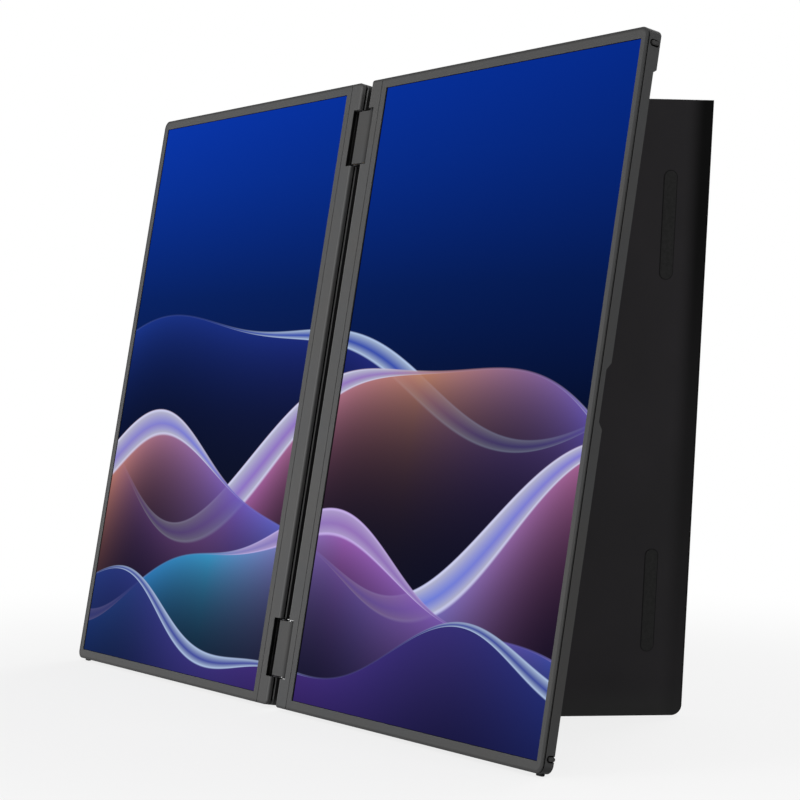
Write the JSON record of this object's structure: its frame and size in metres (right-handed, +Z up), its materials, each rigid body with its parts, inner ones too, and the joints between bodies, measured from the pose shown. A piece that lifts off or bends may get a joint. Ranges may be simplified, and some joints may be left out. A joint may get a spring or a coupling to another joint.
{
  "type": "laptop screen extender",
  "caption": "Folding portable monitor: portrait screens joined by dual-axis hinges, with a slanted kickstand plate on the back.",
  "frame": {"origin": "centre of the bounding box at desk level, standing with the kickstand open", "axes": "+X across the screens towards the module with the kickstand, +Y from the screens towards the back, +Z up"},
  "size_m": [0.4253, 0.1596, 0.3098],
  "materials": {
    "bezel_grey": "fine matt grey",
    "strip_grey": "fine matt grey",
    "cover_grey": "fine matt dark grey",
    "screen": "glossy lit screen with a black border",
    "spreader_foil": "satin foil",
    "chassis_metal": "stamped, satin",
    "circuit_board": "solder mask",
    "flex_film": "polyimide film",
    "bracket_steel": "pressed steel",
    "shaft_steel": "ground steel",
    "screw_steel": "blackened steel",
    "bush_bronze": "sintered bronze",
    "insert_brass": "turned",
    "socket_steel": "plated steel",
    "foot_rubber": "matt rubber",
    "button_plastic": "satin",
    "hinge_block_paint": "fine matt grey",
    "stand_black": "black anodised, fine matt",
    "grip_rubber": "satin rubber"
  },
  "bodies": {
    "right_module": {"right_bezel": "bezel_grey", "right_hinge_strip": "strip_grey", "right_display": "screen", "right_heat_spreader": "spreader_foil", "right_chassis": "chassis_metal", "right_back_cover": "cover_grey", "right_driver_board": "circuit_board", "right_display_flex": "flex_film", "right_hinge_flex": "flex_film", "right_hinge_brackets": "bracket_steel", "right_hinge_shafts": "shaft_steel", "right_hinge_screws": "screw_steel", "right_cover_screws": "screw_steel", "right_foot": "foot_rubber", "right_side_pads": "foot_rubber", "kickstand_hinge_bases": "bracket_steel", "kickstand_pins": "shaft_steel"},
    "hinge_link": {"upper_hinge_block": "hinge_block_paint", "lower_hinge_block": "hinge_block_paint", "hinge_bushes": "bush_bronze", "hinge_block_flex": "flex_film"},
    "left_module": {"left_bezel": "bezel_grey", "left_hinge_strip": "strip_grey", "left_display": "screen", "left_heat_spreader": "spreader_foil", "left_chassis": "chassis_metal", "left_back_cover": "cover_grey", "left_main_board": "circuit_board", "left_display_flex": "flex_film", "left_hinge_flex": "flex_film", "left_hinge_brackets": "bracket_steel", "left_hinge_shafts": "shaft_steel", "left_hinge_screws": "screw_steel", "left_cover_screws": "screw_steel", "left_foot": "foot_rubber", "usb_c_sockets": "socket_steel", "mini_hdmi_socket": "socket_steel", "key_board": "circuit_board", "tripod_insert": "insert_brass"},
    "kickstand": {"kickstand_plate": "stand_black", "kickstand_hinge_leaves": "bracket_steel", "kickstand_screws": "screw_steel", "kickstand_grip_strips": "grip_rubber"},
    "power_button": {"power_button": "button_plastic"},
    "up_button": {"up_button": "button_plastic"},
    "down_button": {"down_button": "button_plastic"}
  },
  "joints": [
    {"name": "right_hinge_axis", "type": "hinge", "parent": "right_module", "child": "hinge_link", "pos_m": [0.0036, -0.04896, 0.15509], "axis": [0, 0.173, 0.9849], "range_deg": [-45, 90]},
    {"name": "left_hinge_axis", "type": "hinge", "parent": "hinge_link", "child": "left_module", "pos_m": [-0.0044, -0.04896, 0.15509], "axis": [0, 0.173, 0.9849], "range_deg": [-45, 90]},
    {"name": "kickstand_hinge", "type": "hinge", "parent": "right_module", "child": "kickstand", "pos_m": [0.07955, -0.04902, 0.14202], "axis": [0.2756, 0.1663, 0.9468], "range_deg": [-65, 20]},
    {"name": "power_button_press", "type": "slide", "parent": "left_module", "child": "power_button", "axis": [1, 0, 0], "range_m": [0, 0.0004], "stiffness_N_per_m": 3000},
    {"name": "up_button_press", "type": "slide", "parent": "left_module", "child": "up_button", "axis": [1, 0, 0], "range_m": [0, 0.0004], "stiffness_N_per_m": 3000},
    {"name": "down_button_press", "type": "slide", "parent": "left_module", "child": "down_button", "axis": [1, 0, 0], "range_m": [0, 0.0004], "stiffness_N_per_m": 3000}
  ],
  "couplings": [
    {"joint": "right_hinge_axis", "follows": "left_hinge_axis", "ratio": 1}
  ]
}
